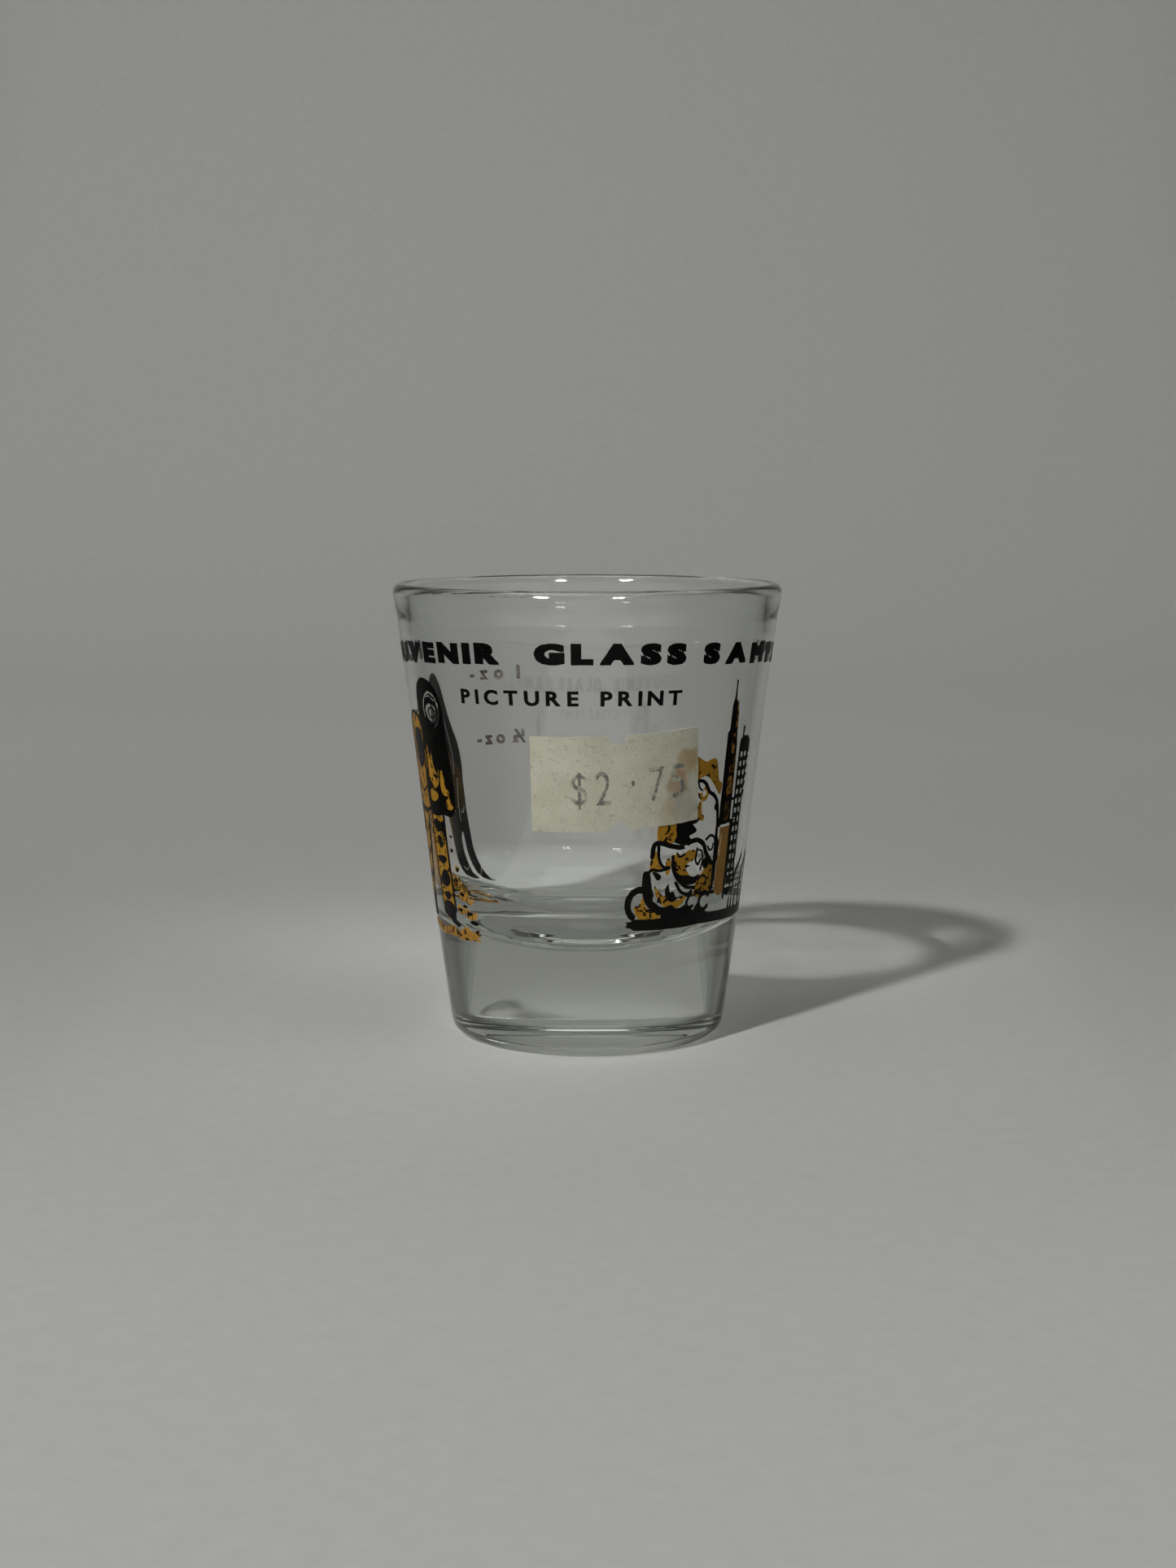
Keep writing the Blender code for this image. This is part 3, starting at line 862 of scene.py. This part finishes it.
def moon_ground_art():
    """Rough ground under the figure: a ragged strip and loose broken strokes."""
    strip = (INK, [
        (-97, 14.1), (-92, 14.9), (-86, 14.5), (-79, 15.1), (-72, 14.8), (-66, 14.6), (-60, 15.2),
        (-55.4, 14.6), (-50.6, 15.4), (-47, 14.8), (-43.6, 15.3), (-42.4, 14.6), (-44.6, 14.1),
        (-42.2, 13.7), (-46.6, 13.8), (-52, 13.6), (-60, 13.8), (-70, 13.6), (-80, 13.9), (-90, 13.6),
    ])
    lumps = (
        (-55.6, 20.4, 4.2, 1.5), (-52.8, 18.6, 5, 1.6), (-55, 16.9, 5.4, 1.2),
        (-50, 16.4, 6.4, 1.3), (-48.6, 18.3, 3.6, 0.8), (-53.6, 22.2, 2.4, 0.9),
        (-96, 15.9, 5, 1.4), (-94.4, 18.2, 4, 1.5), (-92, 20.6, 3.4, 1.1),
    )
    return [strip] + [scattered(LUMP, *place) for place in lumps]


def moon_black_art():
    """Dark splits in the rough ground, and two spots on the suit."""
    splits = (
        (-55, 20.9, 2.6, 0.5), (-52.2, 19.2, 2.6, 0.6), (-54.2, 17.2, 2.8, 0.5),
        (-49.2, 16.9, 3.4, 0.5), (-47.6, 15.8, 4.6, 0.6), (-53.2, 22.3, 1.8, 0.5),
        (-51, 17.8, 2.4, 0.4), (-94.8, 16.5, 2.6, 0.5), (-93.4, 18.8, 2, 0.6),
        (-55.4, 24.6, 1.6, 0.5), (-54.8, 26.4, 1.2, 0.4),
    )
    return [scattered(SPLIT, *place) for place in splits]


def companion_art():
    """A second suited figure, seen from behind through the glass: dark, striding, with a bare visor."""
    figure = [
        (-99, 39.5), (-100, 42.5), (-104, 44.6), (-109, 44.9), (-112.5, 43.6), (-114.5, 41.8),
        (-116.5, 39.6), (-119, 37.4), (-121.5, 35.6), (-123, 32.8), (-122.7, 30.4), (-123, 28),
        (-123.4, 26.2), (-125.3, 21.9), (-127, 19.8), (-129.5, 17.6), (-132, 15.9), (-134.5, 15),
        (-130.6, 14.8), (-128.4, 15.6), (-125.6, 17), (-123, 19), (-120.8, 21.6), (-119.6, 23.4),
        (-118.6, 23.9), (-117.6, 23.2), (-118.4, 21.4), (-119.8, 19.6), (-121.6, 17.5), (-124, 16.2),
        (-121, 15.5), (-117.5, 15.8), (-116, 16.8), (-113.3, 18.5), (-110.3, 22.3), (-106.5, 26.8),
        (-102, 30), (-99, 34), (-98.4, 37),
    ]
    steps = [
        blob(figure),
        opening([
            (-101.4, 42.6), (-104.6, 43.4), (-108.6, 42.6), (-109.8, 41), (-106.4, 40.2), (-102.4, 41),
        ]),
        stroke(ring((-105.6, 41.9), 2.5, 0.8, 20, 310), 0.22),
        stroke([(-104.8, 41.7), (-106.4, 42.1)], 0.3),
    ]
    folds = (
        ((-101, 37.6), (-105, 36.8), (-109, 37.4), (-112.4, 38.6)),
        ((-112.6, 39.4), (-115, 36.6), (-116.8, 33.8), (-116.4, 31.6)),
        ((-103.2, 34.4), (-108, 33.6), (-113, 34.2)),
        ((-104, 31.6), (-108.6, 31), (-113, 31.8)),
        ((-118.8, 31), (-117.6, 27.8), (-118.2, 25.4)),
        ((-107.2, 29), (-110.2, 27.6), (-113.6, 27.4)),
        ((-121.9, 27.2), (-120.6, 26.4), (-119.6, 26.7)),
        ((-115.8, 19), (-118, 18.3), (-119.8, 18.8)),
        ((-128.4, 18.4), (-127.2, 17.2), (-126.2, 16.9)),
    )
    return steps + [scratch(fold, 0.14) for fold in folds]


def wording(word, left, right, base, cap, bold, stretch, sag, spread):
    """The steps that print a word between two angles, its letters evenly spaced along a sagging base line.

    Each letter is printed four times, spread a little sideways, which fattens it and blunts its corners.
    """
    nudges = [(x * spread, y * spread * 0.6) for x, y in ((-1, -1), (1, -1), (-1, 1), (1, 1))]
    glyphs = [glyph(letter, cap, bold, stretch) for letter in word]
    spare = (right - left) * DEGREE - sum(width for _, width in glyphs)
    gap = spare / (len(word) - 1)
    steps, x = [], left * DEGREE
    for loops, width in glyphs:
        middle = (x + width / 2) / DEGREE
        drop = sag * (middle / SAG_ANGLE) ** 2
        if loops:
            steps += [(INK, *(loop + (x + dx, base - drop + dy) for loop in loops)) for dx, dy in nudges]
        x += width + gap
    return steps


def make_lettering():
    # The ounce marks' enamel is lightened to grey-brown as painted sheen from the glass in front of them.
    black, sheen_marks_paint = enamel("black_lettering"), enamel("back_marks_painted_sheen")
    for name, word, left, right, style, paint in (
        ("title_word_left", "SOUVENIR", -98.5, -26.6, TITLE, black),
        ("title_word_front", "GLASS", -15.1, 29.6, TITLE, black),
        ("title_word_right", "SAMPLE", 36.5, 94.0, TITLE, black),
        ("caption_word_left", "PICTURE", -41.3, -2.6, CAPTION, black),
        ("caption_word_right", "PRINT", 4.0, 29.4, CAPTION, black),
        ("one_ounce_mark", "1 oz-", -155.0, -133.0, ONE_OUNCE, sheen_marks_paint),
        ("half_ounce_mark", "\u00bd oz-", -156.0, -134.0, HALF_OUNCE, sheen_marks_paint),
    ):
        steps = wording(word, left, right, *style)
        film(name, painted(steps, rough=0.03), BLACK_LAYER, paint, name)


def label_outline():
    """A pricing-gun label: a half-round notch below and a torn one above."""
    half_width, half_height, notch = LABEL_WIDTH / 2, LABEL_HEIGHT / 2, NOTCH_WIDTH / 2
    lower = [
        (-NOTCH_RADIUS * cos(t), -half_height + NOTCH_RADIUS * sin(t)) for t in np.linspace(0, pi, 14)
    ]
    upper = [
        (notch * across, half_height - NOTCH_DEPTH * down)
        for across, down in ((1.05, 0), (0.72, 0.85), (0.6, 1), (-0.6, 0.9), (-0.72, 0.6), (-1, 0))
    ]
    return [
        (-half_width, -half_height), *lower, (half_width, -half_height), (half_width, half_height),
        *upper, (-half_width, half_height),
    ]


def make_label():
    paper = painted([(INK, label_outline())], rough=0.06)
    film("price_label", paper, LABEL_LAYER, label_paper(), "price_label", on_label)
    steps = []
    for mark, left, width, base, cap in (
        ("$", -5.6, 1.9, -2.4, 3.9),
        ("2", -2.7, 1.8, -2.6, 4.2),
        (".", 1.5, 0.5, -0.4, 4.2),
        ("7", 3.8, 1.9, -2.5, 4.2),
        ("5", 6.6, 1.9, -2.5, 4.2),
    ):
        loops, size = glyph(mark, cap, 0.0, 1.0)
        steps.append((INK, *(loop * (width / size, 1) + (left, base) for loop in loops)))
    price = painted(steps, rough=0.08)
    film("price_print", price, PRICE_LAYER, price_ink(), "price_label", on_label)


def make_prints():
    black, block_gold = enamel("black_picture"), enamel("gold_block")
    billow, rough_gold = enamel("gold_billow"), enamel("gold_rough")
    for name, steps, paint in (
        ("rocket_print", rocket_art(), black),
        ("rocket_stripes", rocket_gold_art(), rough_gold),
        ("gantry_print", gantry_art(), block_gold),
        ("tower_print", tower_art(), black),
        ("smoke_print", smoke_gold_art(), billow),
        ("smoke_outline_print", smoke_black_art(), black),
        ("ground_line_print", ground_art(), black),
        ("astronaut_print", astronaut_art() + astronaut_back(), black),
        ("astronaut_leg_print", astronaut_gold_art(), billow),
        ("moon_ground_print", moon_ground_art(), rough_gold),
        ("moon_ground_shading", moon_black_art(), black),
        ("companion_print", companion_art(), black),
    ):
        layer, slot = (BLACK_LAYER, "black_enamel") if paint == black else (GOLD_LAYER, "gold_enamel")
        film(name, painted(in_mm(steps)), layer, paint, SECOND_COLOURS.get(name, name))


def glass_material():
    """Clear soda-lime glass: a little wavy, and grey-green where it is thick."""
    made, tree, shader = new_material("clear_glass")
    shader.inputs["Base Color"].default_value = (*GLASS_TINT, 1)
    shader.inputs["Roughness"].default_value = 0.02
    shader.inputs["IOR"].default_value = GLASS_IOR
    shader.inputs["Transmission Weight"].default_value = 1.0
    bump(tree, speckle(tree, 55, 1.0), shader, 0.25, 0.0002)
    depth = node(tree, "ShaderNodeVolumeAbsorption")
    depth.inputs["Color"].default_value = (*DEEP_TINT, 1)
    depth.inputs["Density"].default_value = DEEP_DENSITY
    tree.links.new(depth.outputs["Volume"], tree.nodes["Material Output"].inputs["Volume"])
    return made


def make_glass():
    body = turned("glass", glass_profile(), GLASS_TURNS)
    body.data.materials.append(glass_material())
    body.cycles.is_caustics_caster = True
    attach(body, "root")
    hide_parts("glass_body")


def times(tree, first, second):
    """Two colours multiplied."""
    made = node(tree, "ShaderNodeVectorMath", operation="MULTIPLY")
    tree.links.new(first, made.inputs[0])
    tree.links.new(second, made.inputs[1])
    return made.outputs["Vector"]


def split_place(tree):
    """How far a point is aside of the middle, and how far behind it."""
    split = node(tree, "ShaderNodeSeparateXYZ")
    tree.links.new(own_place(tree), split.inputs[0])
    return maths(tree, "ABSOLUTE", split.outputs["X"]), split.outputs["Y"]


def sweep_paper():
    """Pale paper with painted shade: darker a little behind the glass and more towards the far sides."""
    made, tree, shader = new_material("sweep_paper")
    aside, behind = split_place(tree)
    # Painted shade: the paper darkens towards its far sides and, along its length, a little behind the
    # glass.
    sides = ramp(tree, aside, [(0.26, 1.0), (0.42, 0.8), (0.7, 0.2)])
    along = remapped(tree, behind, (-0.1, 0.9, 0, 1))
    back = ramp(tree, along, [(0.0, 1.0), (0.2, 0.77), (0.42, 0.94), (0.6, 1.01)])
    grain = ramp(tree, speckle(tree, 420, 6.0), [(0.3, (0.585, 0.592, 0.562)), (0.7, (0.615, 0.622, 0.592))])
    tree.links.new(times(tree, times(tree, grain, sides), back), shader.inputs["Base Color"])
    shader.inputs["Roughness"].default_value = 0.9
    return made


def make_sweep():
    """A pale paper sweep: a wide floor that curves up behind the glass."""
    route = [(-SWEEP_REACH, 0.0), (SWEEP_BEND_START, 0.0)]
    for turn in np.linspace(0, pi / 2, 24)[1:]:
        route.append((SWEEP_BEND_START + SWEEP_BEND * sin(turn), SWEEP_BEND * (1 - cos(turn))))
    route.append((SWEEP_BEND_START + SWEEP_BEND, SWEEP_REACH))
    points, faces = [], []
    for y, z in route:
        points += [(side * SWEEP_REACH / MM, y / MM, z / MM) for side in (-1, 1)]
    for i in range(len(route) - 1):
        faces.append((2 * i, 2 * i + 1, 2 * i + 3, 2 * i + 2))
    sweep = add_mesh("sweep", points, faces)
    sweep.data.materials.append(sweep_paper())
    sweep.cycles.is_caustics_receiver = True


def round_patch(name, radius, height, paint):
    """A flat disc on the paper that lights nothing and casts no shadow."""
    turns = np.linspace(0, 2 * pi, 65)[:-1]
    points = [(radius * cos(t), radius * sin(t), height) for t in turns]
    made = add_mesh(name, points, [tuple(range(len(points)))])
    made.data.materials.append(paint)
    made.visible_diffuse = False
    made.visible_shadow = False
    return made


def make_lit_floor():
    """Lit paper under the foot: the light that comes down through the glass."""
    paint, _, shader = new_material("lit_floor_paper")
    shader.inputs["Base Color"].default_value = (0, 0, 0, 1)
    shader.inputs["Roughness"].default_value = 1.0
    shader.inputs["Emission Color"].default_value = (*LIT_FLOOR_COLOUR, 1)
    shader.inputs["Emission Strength"].default_value = 1.0
    round_patch("lit_floor", LIT_FLOOR_RADIUS, LIT_FLOOR_HEIGHT, paint)


def make_lit_patch():
    """The light that comes through the wall and lands inside the rim's shadow, soft at its edge."""
    paint, tree, shader = new_material("lit_patch_light")
    tree.nodes.remove(shader)
    away = node(tree, "ShaderNodeVectorMath", operation="LENGTH")
    tree.links.new(own_place(tree), away.inputs[0])
    edge = remapped(tree, away.outputs["Value"], (0.0235, 0.0175, 0, 0.115), smooth=True)
    streaks = remapped(tree, speckle(tree, 90, 3.0), (0.3, 0.7, 0.8, 1.25))
    light = node(tree, "ShaderNodeEmission")
    light.inputs["Color"].default_value = (1.0, 1.0, 0.96, 1)
    tree.links.new(maths(tree, "MULTIPLY", edge, streaks), light.inputs["Strength"])
    both = node(tree, "ShaderNodeAddShader")
    tree.links.new(light.outputs[0], both.inputs[0])
    tree.links.new(node(tree, "ShaderNodeBsdfTransparent").outputs[0], both.inputs[1])
    tree.links.new(both.outputs[0], tree.nodes["Material Output"].inputs["Surface"])
    round_patch("lit_patch", LIT_PATCH_RADIUS, 0, paint).location = LIT_PATCH_PLACE


def card_paint():
    """Black, but clear straight behind the glass and thickening towards its sides."""
    made, tree, shader = new_material("card_black")
    shader.inputs["Base Color"].default_value = (0.01, 0.01, 0.01, 1)
    shader.inputs["Roughness"].default_value = 1.0
    turn = maths(tree, "ARCTAN2", *split_place(tree))
    tree.links.new(ramp(tree, turn, CARD_THICKENS), shader.inputs["Alpha"])
    return made


def make_cards():
    """Dark studio cards beside the paper, which show only in the glass."""
    paint = card_paint()
    for side, name in ((-1, "left"), (1, "right")):
        corners = [(side * x / MM, y / MM, CARD_HEIGHT) for x, y in CARD_OUTLINE]
        made = add_mesh("floor_card_" + name, corners, [tuple(range(len(corners)))])
        made.data.materials.append(paint)
        made.visible_camera = False
        made.visible_diffuse = False
        made.visible_shadow = False


def make_room():
    """A dim room, brighter in front of the glass, that gives reflections and no light."""
    world = bpy.data.worlds.new("room")
    bpy.context.scene.world = world
    world.use_nodes = True
    tree = world.node_tree
    split = node(tree, "ShaderNodeSeparateXYZ")
    tree.links.new(node(tree, "ShaderNodeTexCoord").outputs["Generated"], split.inputs[0])
    forward = remapped(tree, split.outputs["Y"], (-0.15, -0.8, 0.02, 0.55), smooth=True)
    tree.links.new(forward, tree.nodes["Background"].inputs["Strength"])
    tree.nodes["Background"].inputs["Color"].default_value = (1.0, 1.0, 0.97, 1)
    world.cycles_visibility.diffuse = False


def area_light(name, place, aim, size, power):
    data = bpy.data.lights.new(name, "AREA")
    data.shape = "RECTANGLE"
    data.size, data.size_y = size
    data.energy = power
    lamp = bpy.data.objects.new(name, data)
    lamp.location = place
    lamp.rotation_euler = (Vector(aim) - Vector(place)).to_track_quat("-Z", "Y").to_euler()
    bpy.context.collection.objects.link(lamp)
    return lamp


def make_lights():
    """A small key at the front left, a soft overhead, and two sparks that light only the glass."""
    key_place = Vector(KEY_WAY).normalized() * KEY_DISTANCE
    key = area_light("key", key_place, (0, 0, 0.02), (KEY_SIZE, KEY_SIZE), KEY_POWER)
    key.data.cycles.is_caustics_light = True
    area_light("overhead", (0.0, 0.1, 1.5), (0, 0.2, 0), OVERHEAD_SIZE, OVERHEAD_POWER)
    shine = bpy.data.collections.new("shine")
    shine.objects.link(bpy.data.objects["glass"])
    for name, way in SPARK_WAYS.items():
        place = Vector(way).normalized() * SPARK_DISTANCE
        spark = area_light(name, place, (0, 0, 0.03), (SPARK_SIZE, SPARK_SIZE), SPARK_POWER)
        spark.visible_diffuse = False
        spark.light_linking.receiver_collection = shine


def make_camera():
    data = bpy.data.cameras.new("camera")
    data.sensor_width = 36
    data.lens = CAMERA_LENS
    data.clip_start = 0.01
    camera = bpy.data.objects.new("camera", data)
    camera.location = CAMERA_PLACE
    camera.rotation_euler = (radians(90 - CAMERA_DIP), 0, 0)
    bpy.context.collection.objects.link(camera)
    bpy.context.scene.camera = camera


make_camera()
make_glass()
make_lettering()
make_prints()
make_label()
make_sweep()
make_cards()
make_lit_patch()
make_lit_floor()
make_room()
make_lights()
bpy.context.scene.view_settings.view_transform = "Standard"
